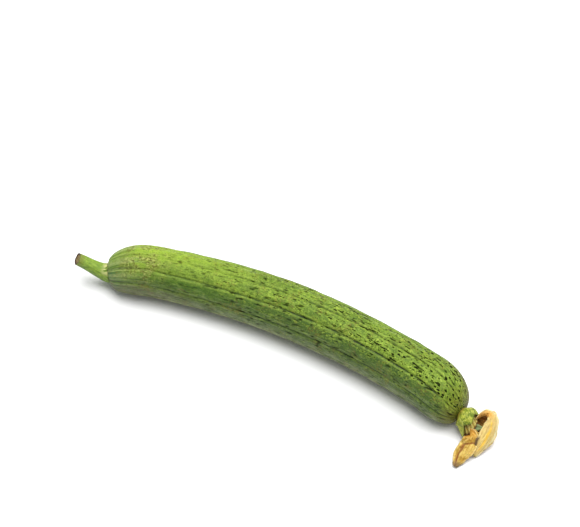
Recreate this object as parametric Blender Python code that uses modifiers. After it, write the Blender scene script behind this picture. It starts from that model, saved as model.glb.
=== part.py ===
"""A young ridge gourd of the smooth kind, picked whole and lying on its side.

The fruit bows towards +Y, with the cut stem at -X and the withered flower at +X. Blender units are metres,
+Z is up, and the origin is on the floor under the middle of the whole gourd's box. The fruit, the stem, the
calyx, the corolla with its petals, and the style are separate solids, a hair's breadth apart where they meet.
"""

import math

import bmesh
import bpy
from mathutils import Vector, noise

# The fruit: a tube bent to one arc. Arc length runs from the crown of its bow to each end.
BEND_RADIUS = 0.500
STEM_END = -0.1490
BLOSSOM_END = 0.1375
BODY_LENGTH = BLOSSOM_END - STEM_END
BELLY_RADII = (0.0190, 0.0192, 0.0199, 0.0203, 0.0201, 0.0199, 0.0198)
STEM_SHOULDER = 0.027
STEM_SCAR_RADIUS = 0.0084
STEM_BLUNTNESS = 2.0
BLOSSOM_SHOULDER = 0.026
BLOSSOM_SCAR_RADIUS = 0.0044
BLOSSOM_BLUNTNESS = 2.2
STEM_END_SHIFT = (-0.0030, -0.0055)
BLOSSOM_END_SHIFT = (-0.0022, -0.0054)
SHIFT_LENGTH = 0.034
SCAR_LEAN = 0.22
SCAR_LEAN_TURN = math.radians(-130)
RESTING_FLAT = 0.0007

# The skin: ten fine grooves run its whole length, each along the floor of a shallow valley between two
# rounded ribs, and low lumps cover the ribs.
RIBS = 10
GROOVE_TURN = math.radians(-2)
GROOVE_WANDER = math.radians(1.5)
WANDER_RATE = 31
VALLEY_DEPTH = 0.00042
GROOVE_DEPTH = 0.00040
GROOVE_HALF_ANGLE = math.radians(2.6)
LUMP_HEIGHT = 0.00030
LUMP_LENGTH = 0.013
LUMP_WIDTH = 0.008
BODY_SEGMENTS = 6 * RIBS
BODY_RINGS = 46
END_CROWDING = 0.78
GROOVE_CROWDING = 0.75

# The stem: a short stub that flares to meet the fruit, and is cut square.
STEM_LENGTH = 0.0262
STEM_RISE = math.radians(23)
STEM_RADII = (0.0084, 0.0071, 0.0060, 0.0054, 0.0050, 0.0048, 0.0046)
STEM_FLUTES = 5
STEM_FLUTE_DEPTH = 0.035
STEM_RINGS = 14
STEM_SQUARE_SHARE = 0.25
STEM_STRAIGHT_SHARE = 0.40
CUT_SLANT = 0.30
CUT_SLANT_TURN = math.radians(-45)
CUT_SLANT_START = 0.6

# The calyx: a pinched neck, a bowl, and five pointed lobes round its mouth. Offsets run ahead along the
# fruit's end, towards the bow's inner side, and up.
CALYX_LENGTH = 0.0084
MOUTH_HEADING = (0.66, 0.16, -0.74)
CALYX_RADII = (0.0044, 0.0058, 0.0078, 0.0086, 0.0087, 0.0085, 0.0081)
CALYX_FLOOR = 0.38
CALYX_SEGMENTS = 30
CALYX_RINGS = 22
GAP_SHARE = 0.042
TUBE_FLOOR = CALYX_FLOOR + GAP_SHARE
TUBE_FLOOR_THICKNESS = 0.09
CALYX_WALL = 0.0009
LOBE_LENGTHS = (0.0018, 0.0020, 0.0030, 0.0040, 0.0088)
LOBE_TURN = math.radians(38)
LOBE_SHARPNESS = 1.3
LOBE_FLARE = 0.04
MOUTH_SLANT = 0.20
MOUTH_SLANT_TURN = math.radians(140)

# The corolla: a pleated tube in the calyx, and five limp petals grown from it.
TUBE_RADII = (0.0038, 0.0051, 0.0057, 0.0063)
TUBE_END = 1.36
TUBE_SLANT = 0.46
TUBE_SLANT_TURN = math.radians(10)
PLEATS = 14
PLEAT_DEPTH = 0.00032
TUBE_WALL = 0.0010
TUBE_RINGS = 12
PETAL_THICKNESS = 0.0007
CRINKLE = 0.0005
PETAL_FLOOR = 0.0010
FLOOR_RIPPLE = 0.0003
PETAL_COLUMNS = 6
PETAL_ROWS = 13
CREASE_STRETCH = 6
ROOT_DEPTH = 0.09
ROOT_SHARE = 0.25

# Each petal: its turn round the tube's rim in degrees, three more points of its midrib in millimetres ahead,
# near and up from the calyx's mouth, and its half widths from root to tip. Then the way its blade faces at
# its middle and its tip, how far its edges fold back, and how much further along one edge runs. Each crease
# runs from one place to another, given across from -1 to 1 and along from 0 to 1. Its width across and its
# rise in millimetres follow.
PETALS = (
    {
        "turn": 138,
        "rib": ((7.5, -16.8, 14.4), (20.5, -14, 7.5), (17, 14.5, -7.2)),
        "halves": (2.6, 2.7, 4.0, 5.2, 6.0, 3.6),
        "faces": ((0.5, -0.1, 0.75), (0.75, 0.3, 0.6)),
        "fold": 0.30,
        "skew": 0,
        "creases": (
            (-0.45, 0.30, -0.50, 0.92, 0.40, -0.7),
            (0.90, 0.45, 0.10, 0.66, 0.45, -0.6),
            (0.30, 0.62, 0.05, 0.95, 0.40, 0.7),
        ),
    },
    {
        "turn": 45,
        "rib": ((11.2, 6.5, 2.5), (9.4, 18, -5.5), (13, 29.4, -8)),
        "halves": (3.2, 5.2, 6.3, 2.4),
        "faces": ((-0.1, 0.1, 1), (0.1, 0.1, 1)),
        "fold": 0.25,
        "skew": 0.05,
        "creases": (
            (-0.70, 0.20, 1.00, 0.36, 0.60, 0.9),
            (-0.90, 0.38, 0.35, 0.50, 0.50, -0.6),
            (0.35, 0.50, 0.30, 0.97, 0.45, -0.7),
        ),
    },
    {
        "turn": 70,
        "rib": ((10, 4, -0.3), (13.5, 4, -1), (14.5, 8.2, -6)),
        "halves": (1.6, 2.1, 2.2, 1.2),
        "faces": ((0.3, 0.3, 0.8), (0.3, 0.6, 0.6)),
        "fold": 0.35,
        "skew": 0,
        "creases": (),
    },
    {
        "turn": 188,
        "rib": ((6.5, -9.7, -0.9), (16.8, -10.2, -4.2), (16.5, 9, -7.6)),
        "halves": (3.0, 4.8, 6.8, 6.0, 3.0),
        "faces": ((-0.1, -0.6, -0.8), (0, 0, -1)),
        "fold": 0.12,
        "skew": 0,
        "creases": ((0.10, 0.35, -0.20, 0.90, 0.45, 0.6),),
    },
    {
        "turn": 254,
        "rib": ((4, 0, -7.3), (9, 6, -7.8), (12, 16, -7.8)),
        "halves": (1.3, 3.5, 4.5, 2.0),
        "faces": ((0, 0, -1), (0, 0, -1)),
        "fold": -0.10,
        "skew": 0,
        "creases": ((0.00, 0.30, 0.10, 0.95, 0.50, 0.3),),
    },
)

# The style: a short column on the tube's floor, with a stigma of three lobes.
STYLE_RADIUS = 0.0011
STIGMA_RADIUS = 0.0024
STIGMA_LOBES = 3
STIGMA_LOBE_DEPTH = 0.28
STIGMA_START = 0.62
STIGMA_WIDEST = 0.80
STYLE_RINGS = 13
STYLE_LEAN = (0.0102, -0.0024, 0.0016)
STYLE_RISE = 0.35
STYLE_REACH = 0.75

JOINT_GAP = 0.0003
TAU = 2 * math.pi


def lerp(a, b, t):
    return a + (b - a) * t


def smooth_step(t):
    t = min(1.0, max(0.0, t))
    return t * t * (3 - 2 * t)


def through(values, t):
    """A smooth curve through evenly spaced values, read at t from 0 to 1."""
    place = min(max(t, 0.0), 1.0) * (len(values) - 1)
    i = min(int(place), len(values) - 2)
    f = place - i
    before = values[max(i - 1, 0)]
    a, b = values[i], values[i + 1]
    after = values[min(i + 2, len(values) - 1)]
    slope_a, slope_b = (b - before) / 2, (after - a) / 2
    return (
        a * (1 + 2 * f) * (1 - f) ** 2
        + slope_a * f * (1 - f) ** 2
        + b * f * f * (3 - 2 * f)
        + slope_b * f * f * (f - 1)
    )


def bezier(points, t):
    """A point on a cubic curve through the first and last of four points, and its direction there."""
    a, b, c, d = points
    u = 1 - t
    place = a * u**3 + b * 3 * u * u * t + c * 3 * u * t * t + d * t**3
    heading = (b - a) * u * u + (c - b) * 2 * u * t + (d - c) * t * t
    return place, heading.normalized()


def round_path(path, t, radius, angle):
    """A point at a radius and angle round a cubic curve."""
    place, heading = bezier(path, t)
    side = heading.cross(Vector((0, 0, 1))).normalized()
    over = side.cross(heading)
    return place + side * radius * math.cos(angle) + over * radius * math.sin(angle)


def new_object(name, mesh, material, collection):
    mesh.materials.append(material)
    obj = bpy.data.objects.new(name, mesh)
    collection.objects.link(obj)
    mesh.shade_smooth()
    return obj


def closed_surface(name, segments, rings, place):
    """A sphere's mesh with each point moved to place(t, angle), with t from 0 to 1 from pole to pole."""
    bm = bmesh.new()
    bmesh.ops.create_uvsphere(bm, u_segments=segments, v_segments=rings, radius=1)
    for vertex in bm.verts:
        x, y, z = vertex.co
        t = math.acos(max(-1.0, min(1.0, z))) / math.pi
        angle = math.atan2(y, x) if abs(z) < 1 - 1e-7 else 0.0
        vertex.co = place(t, angle)
    if bm.calc_volume(signed=True) < 0:
        bmesh.ops.reverse_faces(bm, faces=bm.faces)
    mesh = bpy.data.meshes.new(name)
    bm.to_mesh(mesh)
    bm.free()
    return mesh


# The fruit


def belly_radius(s):
    return through(BELLY_RADII, (s - STEM_END) / BODY_LENGTH)


def rounded_end(distance, shoulder, bluntness):
    """The share of the full radius at a distance from a scar: steep at the scar, level at the shoulder."""
    inward = 1 - min(max(distance / shoulder, 0.0), 1.0)
    return (1 - inward**bluntness) ** (1 / bluntness)


def body_radius(s):
    """The ribs' radius at arc length s."""
    radius = belly_radius(s)
    stem_share = rounded_end(s - STEM_END, STEM_SHOULDER, STEM_BLUNTNESS)
    blossom_share = rounded_end(BLOSSOM_END - s, BLOSSOM_SHOULDER, BLOSSOM_BLUNTNESS)
    return lerp(BLOSSOM_SCAR_RADIUS, lerp(STEM_SCAR_RADIUS, radius, stem_share), blossom_share)


def body_axis(s):
    """The centre line's point at arc length s, with its direction and its outward side."""
    turn = s / BEND_RADIUS
    along = Vector((math.cos(turn), -math.sin(turn), 0))
    side = Vector((math.sin(turn), math.cos(turn), 0))
    point = Vector((BEND_RADIUS * math.sin(turn), -BEND_RADIUS * (1 - math.cos(turn)), 0))
    point.z = belly_radius(s) - RESTING_FLAT
    for shift, distance in ((STEM_END_SHIFT, s - STEM_END), (BLOSSOM_END_SHIFT, BLOSSOM_END - s)):
        share = max(0.0, 1 - distance / SHIFT_LENGTH) ** 2
        point += side * shift[0] * share + Vector((0, 0, shift[1] * share))
    return point, along, side


def scar_lean(s, radius, angle):
    """How far a skin point is carried along the axis, because the stem's scar is not square to it."""
    share = max(0.0, 1 - (s - STEM_END) / SHIFT_LENGTH) ** 2
    return SCAR_LEAN * share * radius * math.cos(angle - SCAR_LEAN_TURN)


def rib_relief(angle, s):
    """How far the skin lies below the ribs' radius, in a valley and in the groove along its floor."""
    turned = angle - GROOVE_TURN - GROOVE_WANDER * math.sin(WANDER_RATE * s)
    spacing = TAU / RIBS
    off_groove = abs((turned + spacing / 2) % spacing - spacing / 2)
    valley = (0.5 + 0.5 * math.cos(RIBS * turned)) ** 2
    groove = math.exp(-((off_groove / GROOVE_HALF_ANGLE) ** 2))
    return -VALLEY_DEPTH * valley - GROOVE_DEPTH * groove


def lumps(s, angle):
    """Low swellings, longer along the fruit than round it."""
    reach = BELLY_RADII[3] / LUMP_WIDTH
    place = Vector((s / LUMP_LENGTH, reach * math.cos(angle), reach * math.sin(angle)))
    return LUMP_HEIGHT * noise.noise(place)


def body_point(t, angle):
    """A point on the fruit's skin: flat scars at the ends, rings crowded there and points to the grooves."""
    scar = 1 / BODY_RINGS
    travel = min(1.0, max(0.0, (t - scar) / (1 - 2 * scar)))
    s = STEM_END + BODY_LENGTH * (travel - END_CROWDING * math.sin(TAU * travel) / TAU)
    angle -= GROOVE_CROWDING / RIBS * math.sin(RIBS * angle)
    angle += GROOVE_TURN + GROOVE_WANDER * math.sin(WANDER_RATE * s)
    point, along, side = body_axis(s)
    radius = body_radius(s)
    fullness = radius / belly_radius(s)
    radius += (rib_relief(angle, s) + lumps(s, angle)) * fullness
    radius *= min(1.0, t / scar, (1 - t) / scar)
    point += Vector((0, 0, 1)) * radius * math.cos(angle) + side * radius * math.sin(angle)
    point += along * scar_lean(s, radius, angle)
    point.z = max(point.z, 0.0)
    return point


def make_fruit(material, collection):
    mesh = closed_surface("fruit", BODY_SEGMENTS, BODY_RINGS, body_point)
    return new_object("fruit", mesh, material, collection)


# The stem


def stem_path():
    """Four points from the fruit's scar to the cut, leaving square to the scar and then rising."""
    base, along, side = body_axis(STEM_END)
    down_hill = Vector((0, 0, math.cos(SCAR_LEAN_TURN))) + side * math.sin(SCAR_LEAN_TURN)
    away = (down_hill * SCAR_LEAN - along).normalized()
    rising = Vector((0, 0, math.sin(STEM_RISE))) - along * math.cos(STEM_RISE)
    start = base + away * JOINT_GAP
    end = start + rising * STEM_LENGTH
    square = start + away * STEM_LENGTH * STEM_SQUARE_SHARE
    straight = end - rising * STEM_LENGTH * STEM_STRAIGHT_SHARE
    return start, square, straight, end


def stem_point(t, angle):
    """A point on the stem: flat ends, and fluted sides that flare to the fruit."""
    face = 1 / STEM_RINGS
    travel = min(1.0, max(0.0, (t - face) / (1 - 2 * face)))
    inward = min(1.0, t / face, (1 - t) / face)
    radius = through(STEM_RADII, travel) * inward
    radius *= 1 + STEM_FLUTE_DEPTH * math.cos(STEM_FLUTES * angle) * travel
    slanted = smooth_step((travel - CUT_SLANT_START) / (1 - CUT_SLANT_START))
    slip = slanted * CUT_SLANT * radius * math.cos(angle - CUT_SLANT_TURN)
    return round_path(stem_path(), travel, radius, angle) + bezier(stem_path(), 1.0)[1] * slip


def make_stem(material, collection):
    mesh = closed_surface("stem", 4 * STEM_FLUTES, STEM_RINGS, stem_point)
    return new_object("stem", mesh, material, collection)


# The calyx


def flower_offset(ahead, near, up):
    """A direction or distance given ahead along the fruit's end, towards the bow's inner side, and up."""
    _, along, side = body_axis(BLOSSOM_END)
    return along * ahead - side * near + Vector((0, 0, up))


def flower_frame(t):
    """The flower axis's point at t, with the directions along, across and over.

    It bends in an even arc from the fruit's blossom scar at 0 to the calyx's mouth at 1, then runs on.
    """
    leaving = flower_offset(1, 0, 0)
    arriving = flower_offset(*MOUTH_HEADING).normalized()
    turn = leaving.angle(arriving)
    inward = (arriving - leaving * leaving.dot(arriving)).normalized()
    bend = turn * min(t, 1.0)
    heading = leaving * math.cos(bend) + inward * math.sin(bend)
    place = body_axis(BLOSSOM_END)[0] + leaving * JOINT_GAP
    place += (leaving * math.sin(bend) + inward * (1 - math.cos(bend))) * CALYX_LENGTH / turn
    place += heading * CALYX_LENGTH * max(0.0, t - 1)
    across = arriving.cross(Vector((0, 0, 1))).normalized()
    over = across.cross(heading).normalized()
    return place, heading, heading.cross(over), over


def mouth_centre():
    return flower_frame(1)[0]


def flower_point(t, radius, angle):
    """A point round the flower's axis. The angle runs from the bow's inner side, over the top."""
    place, _, across, over = flower_frame(t)
    return place + across * radius * math.cos(angle) + over * radius * math.sin(angle)


def lobe_reach(angle):
    """How far the calyx's edge reaches past its mouth: a pointed lobe in each fifth of the round."""
    turn = ((angle - LOBE_TURN) / TAU * len(LOBE_LENGTHS)) % len(LOBE_LENGTHS)
    length = LOBE_LENGTHS[int(turn)]
    off_middle = abs(turn % 1 - 0.5) * 2
    return length * (1 - off_middle**LOBE_SHARPNESS)


def mouth_slant(angle):
    """How much shorter the bowl is on its far side, as a share of its length."""
    return MOUTH_SLANT * (1 + math.cos(angle - MOUTH_SLANT_TURN))


def calyx_point(t, angle):
    """The outside runs from the scar to the lobes' edge, and the inside back down to the bowl's floor."""
    inside = t > 0.5
    climb = (1 - t if inside else t) * 2
    face = 2 / CALYX_RINGS
    reach = 1 + lobe_reach(angle) / CALYX_LENGTH - mouth_slant(angle)
    along = lerp(CALYX_FLOOR if inside else 0.0, reach, max(0.0, climb - face) / (1 - face))
    radius = through(CALYX_RADII, along) * (1 + LOBE_FLARE * max(0.0, along - 1))
    radius -= CALYX_WALL if inside else 0.0
    point = flower_point(along, radius * min(1.0, climb / face), angle)
    point.z = max(point.z, PETAL_FLOOR / 2 + (CALYX_WALL if inside else 0.0))
    return point


def make_calyx(material, collection):
    mesh = closed_surface("calyx", CALYX_SEGMENTS, CALYX_RINGS, calyx_point)
    return new_object("calyx", mesh, material, collection)


# The corolla


def tube_end(angle):
    """How far along the flower's axis the tube's slanting rim lies."""
    return TUBE_END + TUBE_SLANT * math.cos(angle - TUBE_SLANT_TURN)


def corolla_point(t, angle):
    """A pleated tube with an open mouth: outside up to its rim, and inside back down to its floor."""
    inside = t > 0.5
    climb = (1 - t if inside else t) * 2
    face = 2 / TUBE_RINGS
    travel = max(0.0, climb - face) / (1 - face)
    along = lerp(TUBE_FLOOR + (TUBE_FLOOR_THICKNESS if inside else 0.0), tube_end(angle), travel)
    radius = through(TUBE_RADII, travel) - (TUBE_WALL if inside else 0.0)
    radius += PLEAT_DEPTH * math.cos(PLEATS * angle) * travel
    return flower_point(along, radius * min(1.0, climb / face), angle)


def crinkle(index, q, t):
    """The rise and fall of a limp blade: a wave along its edges and a finer one across it."""
    along_edges = abs(q) * math.sin(11 * t + 2.5 * q + 2 * index)
    across = 0.6 * math.cos(7 * q + 3 * t + index)
    return CRINKLE * (along_edges + across)


def crease_rise(petal, q, t):
    """The rise of a petal's creases, each a straight ridge or furrow that slopes to both sides."""
    rise = 0.0
    for q0, t0, q1, t1, width, height in petal["creases"]:
        run, step = q1 - q0, CREASE_STRETCH * (t1 - t0)
        share = ((q - q0) * run + CREASE_STRETCH * (t - t0) * step) / (run * run + step * step)
        share = min(1.0, max(0.0, share))
        off = math.hypot(q - q0 - share * run, CREASE_STRETCH * (t - t0) - share * step)
        rise += height * 0.001 * max(0.0, 1 - off / width)
    return rise


def petal_point(index, petal, q, t):
    """A point of a petal's middle surface, q from edge to edge and t from root to tip."""
    turn = math.radians(petal["turn"])
    start = tube_end(turn) - ROOT_DEPTH
    wall = TUBE_RADII[-1] - TUBE_WALL / 2
    root = flower_point(start, wall, turn)
    outward = (root - flower_point(start, 0, turn)).normalized()
    path = [root] + [mouth_centre() + flower_offset(*point) * 0.001 for point in petal["rib"]]
    place, direction = bezier(path, t + petal["skew"] * q * 4 * t * (1 - t))
    middle, tip = (flower_offset(*face).normalized() for face in petal["faces"])
    facing = outward.lerp(middle, 2 * t) if t < 0.5 else middle.lerp(tip, 2 * t - 1)
    width = direction.cross(facing).normalized()
    normal = width.cross(direction)
    half = through(petal["halves"], t) * 0.001
    free = smooth_step(t / ROOT_SHARE)
    fold = lerp(half / (2 * wall), petal["fold"], free)
    rise = free * (crinkle(index, q, t) + crease_rise(petal, q, t))
    point = place + width * half * q + normal * (rise - fold * half * q * q)
    point.z = max(point.z, PETAL_FLOOR + FLOOR_RIPPLE * math.sin(5 * q + 8 * t))
    return point


def make_blade(index, petal, collection):
    """One limp petal: a surface between its two edges, made even in thickness."""
    bm = bmesh.new()
    bmesh.ops.create_grid(bm, x_segments=PETAL_COLUMNS, y_segments=PETAL_ROWS, size=1)
    for vertex in bm.verts:
        vertex.co = petal_point(index, petal, vertex.co.x, (vertex.co.y + 1) / 2)
    bmesh.ops.triangulate(bm, faces=bm.faces)
    mesh = bpy.data.meshes.new(f"blade_{index}")
    bm.to_mesh(mesh)
    bm.free()
    obj = bpy.data.objects.new(f"blade_{index}", mesh)
    collection.objects.link(obj)
    shell = obj.modifiers.new("thickness", "SOLIDIFY")
    shell.thickness = PETAL_THICKNESS
    shell.offset = 0


def make_corolla(material, collection):
    """The pleated tube and its petals, joined to one solid."""
    mesh = closed_surface("petals", 4 * PLEATS, TUBE_RINGS, corolla_point)
    corolla = new_object("petals", mesh, material, collection)
    blades = bpy.data.collections.new("petal blades")
    bpy.context.scene.collection.children.link(blades)
    for index, petal in enumerate(PETALS):
        make_blade(index, petal, blades)
    join = corolla.modifiers.new("join petals", "BOOLEAN")
    join.operation = "UNION"
    join.operand_type = "COLLECTION"
    join.collection = blades
    join.solver = "MANIFOLD"
    bpy.context.view_layer.update()
    graph = bpy.context.evaluated_depsgraph_get()
    joined = bpy.data.meshes.new_from_object(corolla.evaluated_get(graph))
    corolla.modifiers.clear()
    corolla.data = joined
    for blade in list(blades.objects):
        bpy.data.objects.remove(blade)
    bpy.data.collections.remove(blades)
    return corolla


# The style


def style_path():
    """Four points from just above the tube's floor to the stigma, up the tube and then leaning aside."""
    foot, heading, _, _ = flower_frame(TUBE_FLOOR + TUBE_FLOOR_THICKNESS + GAP_SHARE)
    mouth, leaving, _, _ = flower_frame(1)
    rising = foot + heading * CALYX_LENGTH * STYLE_RISE
    turning = mouth + leaving * CALYX_LENGTH * STYLE_REACH
    return foot, rising, turning, mouth + flower_offset(*STYLE_LEAN)


def style_point(t, angle):
    """A slender column that swells to a stigma of three lobes."""
    face = 1 / STYLE_RINGS
    travel = min(1.0, max(0.0, (t - face) / (1 - face)))
    swelling = smooth_step((travel - STIGMA_START) / (STIGMA_WIDEST - STIGMA_START))
    rounding = max(0.0, (travel - STIGMA_WIDEST) / (1 - STIGMA_WIDEST))
    swell = swelling * math.sqrt(max(0.0, 1 - rounding**2))
    fading = 1 - smooth_step((travel - STIGMA_START) / (1 - STIGMA_START))
    column = STYLE_RADIUS * min(1.0, t / face) * fading
    lobe = 1 - STIGMA_LOBE_DEPTH * (1 - math.cos(STIGMA_LOBES * angle))
    return round_path(style_path(), travel, column + STIGMA_RADIUS * swell * lobe, angle)


def make_style(material, collection):
    mesh = closed_surface("style", 4 * STIGMA_LOBES, STYLE_RINGS, style_point)
    return new_object("style", mesh, material, collection)


def make_material(name, colour, roughness):
    material = bpy.data.materials.new(name)
    material.use_nodes = True
    shader = material.node_tree.nodes["Principled BSDF"]
    shader.inputs["Base Color"].default_value = (*colour, 1)
    shader.inputs["Roughness"].default_value = roughness
    shader.inputs["Metallic"].default_value = 0
    material.diffuse_color = (*colour, 1)
    return material


def centre_over_floor(objects):
    """Moves every mesh so that the origin is at the bottom centre of the box round all of them."""
    points = [vertex.co for obj in objects for vertex in obj.data.vertices]
    low = Vector(min(point[axis] for point in points) for axis in range(3))
    high = Vector(max(point[axis] for point in points) for axis in range(3))
    shift = Vector((-(low.x + high.x) / 2, -(low.y + high.y) / 2, 0))
    for obj in objects:
        for vertex in obj.data.vertices:
            vertex.co += shift


def main():
    for obj in list(bpy.data.objects):
        bpy.data.objects.remove(obj)
    collection = bpy.data.collections.new("ridge gourd")
    bpy.context.scene.collection.children.link(collection)
    skin = make_material("gourd skin", (0.22, 0.37, 0.06), 0.45)
    stalk = make_material("stem green", (0.36, 0.52, 0.11), 0.50)
    sepal = make_material("calyx green", (0.42, 0.50, 0.06), 0.55)
    petal = make_material("withered petal", (0.83, 0.56, 0.13), 0.65)
    stigma = make_material("stigma green", (0.33, 0.36, 0.16), 0.60)
    pieces = [
        make_fruit(skin, collection),
        make_stem(stalk, collection),
        make_calyx(sepal, collection),
        make_corolla(petal, collection),
        make_style(stigma, collection),
    ]
    centre_over_floor(pieces)


main()
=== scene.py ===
"""The look of a young ridge gourd lying on a white floor.

Every piece follows the same curves as the solids it stands for, at a finer grain: grooves, pebbles and slits
in the skin, veins, creases and frayed edges on the petals. Sizes are in metres, in the frame of the solids.
"""

import math

import bmesh
import bpy
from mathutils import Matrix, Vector, noise


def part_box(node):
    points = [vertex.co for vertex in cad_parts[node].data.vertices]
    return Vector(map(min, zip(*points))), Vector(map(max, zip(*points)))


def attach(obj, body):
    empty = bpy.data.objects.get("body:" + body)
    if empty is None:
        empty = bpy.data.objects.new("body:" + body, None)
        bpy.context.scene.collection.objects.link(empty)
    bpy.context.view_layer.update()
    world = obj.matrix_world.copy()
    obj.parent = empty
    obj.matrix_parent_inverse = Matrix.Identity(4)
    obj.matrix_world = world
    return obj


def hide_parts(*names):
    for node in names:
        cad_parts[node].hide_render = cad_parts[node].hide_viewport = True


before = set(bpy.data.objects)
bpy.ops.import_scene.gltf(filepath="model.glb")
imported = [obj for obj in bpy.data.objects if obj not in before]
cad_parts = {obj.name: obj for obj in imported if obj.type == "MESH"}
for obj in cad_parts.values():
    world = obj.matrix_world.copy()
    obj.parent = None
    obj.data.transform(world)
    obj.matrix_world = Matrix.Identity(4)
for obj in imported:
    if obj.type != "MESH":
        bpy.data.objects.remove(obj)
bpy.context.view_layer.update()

TAU = 2 * math.pi
MM = 0.001

# The fruit's curves
BEND_RADIUS = 0.500
STEM_END = -0.1490
BLOSSOM_END = 0.1375
BODY_LENGTH = BLOSSOM_END - STEM_END
BELLY_RADII = (0.0190, 0.0192, 0.0199, 0.0203, 0.0201, 0.0199, 0.0198)
STEM_SHOULDER = 0.027
STEM_SCAR_RADIUS = 0.0084
STEM_BLUNTNESS = 2.0
BLOSSOM_SHOULDER = 0.026
BLOSSOM_SCAR_RADIUS = 0.0044
BLOSSOM_BLUNTNESS = 2.2
STEM_END_SHIFT = (-0.0030, -0.0055)
BLOSSOM_END_SHIFT = (-0.0022, -0.0054)
SHIFT_LENGTH = 0.034
SCAR_LEAN = 0.22
SCAR_LEAN_TURN = math.radians(-130)
RESTING_FLAT = 0.0007
END_CROWDING = 0.78
SOLID_SEGMENTS = 60
SOLID_RINGS = 46
SOLID_CROWDING = 0.75

# The skin
RIBS = 10
GROOVE_TURN = math.radians(-2)
GROOVE_WANDER = math.radians(1.5)
WANDER_RATE = 31
VALLEY_DEPTH = 0.00042
GROOVE_DEPTH = 0.00040
GROOVE_HALF_ANGLE = math.radians(2.6)
STRONGEST_GROOVE = 9
LINE_HALF_ANGLE = math.radians(1.25)
LIP_ANGLE = math.radians(4.6)
LIP_HEIGHT = 0.00010
LUMP_HEIGHT = 0.00030
LUMP_LENGTH = 0.013
LUMP_WIDTH = 0.008
PEBBLE_HEIGHT = 0.00016
PEBBLE_LENGTH, PEBBLE_WIDTH = 0.0050, 0.0030
FINE_PEBBLE_LENGTH, FINE_PEBBLE_WIDTH = 0.0024, 0.0013
SLIT_LENGTH, SLIT_WIDTH = 0.0046, 0.0014
LINE_JITTER = math.radians(0.55)
FINE_LINE_JITTER = math.radians(0.3)
LIP_HALF_ANGLE = math.radians(1.6)
NEAR_FLANK_ANGLE = math.radians(8)
FAR_FLANK_ANGLE = math.radians(25)
SKIN_SEGMENTS = 240
SKIN_RINGS = 410
SKIN_CROWDING = 0.55
MEAN_RADIUS = 0.020

# The stem
STEM_LENGTH = 0.0262
STEM_RISE = math.radians(23)
STEM_RADII = (0.0084, 0.0071, 0.0060, 0.0054, 0.0050, 0.0048, 0.0046)
STEM_FLUTES = 5
STEM_FLUTE_DEPTH = 0.035
STEM_SQUARE_SHARE = 0.25
STEM_STRAIGHT_SHARE = 0.40
CUT_SLANT = 0.30
CUT_SLANT_TURN = math.radians(-45)
CUT_SLANT_START = 0.6
STEM_CUT_DISH = 0.0004
STEM_BASE_SHARE = 0.04
STEM_CUT_SHARE = 0.90
STEM_SEGMENTS = 120
STEM_RINGS = 110

# The calyx
CALYX_LENGTH = 0.0084
MOUTH_HEADING = (0.66, 0.16, -0.74)
CALYX_RADII = (0.0044, 0.0058, 0.0078, 0.0086, 0.0087, 0.0085, 0.0081)
CALYX_FLOOR = 0.38
CALYX_WALL = 0.0009
LOBE_LENGTHS = (0.0018, 0.0020, 0.0030, 0.0040, 0.0088)
LOBE_TURN = math.radians(38)
LOBE_SHARPNESS = 1.3
LOBE_FLARE = 0.04
MOUTH_SLANT = 0.20
MOUTH_SLANT_TURN = math.radians(140)
LOBE_RAGGEDNESS = 0.00025
CALYX_RIBS = 10
CALYX_RIB_HEIGHT = 0.00012
CALYX_BUMP_HEIGHT = 0.00016
CALYX_BASE_SHARE = 1 / 11
CALYX_SEGMENTS = 200
CALYX_RINGS = 150

# The corolla
GAP_SHARE = 0.042
TUBE_FLOOR = CALYX_FLOOR + GAP_SHARE
TUBE_FLOOR_THICKNESS = 0.09
TUBE_RADII = (0.0038, 0.0051, 0.0057, 0.0063)
TUBE_END = 1.36
TUBE_SLANT = 0.46
TUBE_SLANT_TURN = math.radians(10)
PLEATS = 14
PLEAT_DEPTH = 0.00032
FINE_PLEAT_DEPTH = 0.00008
TUBE_RAGGEDNESS = 0.03
TUBE_BASE_SHARE = 1 / 6
TUBE_SEGMENTS = 16 * PLEATS
TUBE_RINGS = 60
TUBE_WALL = 0.0007
PETAL_THICKNESS = 0.00045
CRINKLE = 0.0005
CRUMPLE = 0.00056
FINE_CRUMPLE = 0.00036
PETAL_VEINS = 7
VEIN_HEIGHT = 0.00007
FRILL = 0.00042
EDGE_FRAY = 0.07
TIP_FRAY = 0.20
TIP_RAGGEDNESS = 0.0012
PETAL_FLOOR = 0.0010
FLOOR_RIPPLE = 0.0003
PETAL_COLUMNS = 33
PETAL_ROWS = 81
CREASE_STRETCH = 6
ROOT_DEPTH = 0.09
ROOT_SHARE = 0.25
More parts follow.
